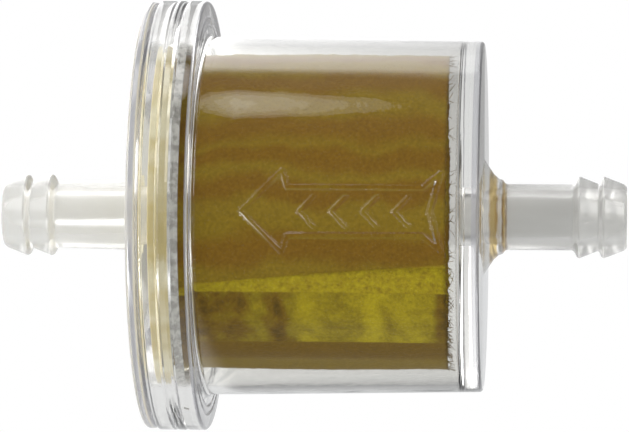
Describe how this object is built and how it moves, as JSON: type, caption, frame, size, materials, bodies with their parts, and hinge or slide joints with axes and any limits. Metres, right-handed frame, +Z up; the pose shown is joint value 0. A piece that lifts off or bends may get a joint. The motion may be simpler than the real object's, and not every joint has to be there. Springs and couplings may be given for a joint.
{
  "type": "in-line fuel filter",
  "caption": "Clear plastic in-line fuel filter: a welded cup and lid with barbed hose nipples at both ends, around a cloth-covered pleated element.",
  "frame": {"origin": "on the filter's axis, half way between the two nipple tips", "axes": "+X along the axis towards the inlet nipple on the cup, +Z up, the flow arrow is on the -Y side"},
  "size_m": [0.0606, 0.0418, 0.0418],
  "materials": {
    "clear_plastic": "glossy clear moulded plastic with faint waviness",
    "filter_cloth": "resin-treated golden brown cloth, matte, fine weave",
    "filter_paper": "matte pleated filter paper",
    "adhesive": "cured cream adhesive, satin",
    "clear_cement": "milky cement squeezed from the joint, glossy",
    "white_plastic": "natural moulded plastic, matte"
  },
  "bodies": {
    "root": {"housing_cup": "clear_plastic", "lid": "clear_plastic", "cloth_wrap": "filter_cloth", "pleated_media": "filter_paper", "media_seam_strip": "adhesive", "centre_tube": "white_plastic", "inlet_end_disc": "white_plastic", "inlet_glue_pad": "adhesive", "potting_bed": "adhesive", "joint_cement_ring": "clear_cement"}
  },
  "joints": []
}
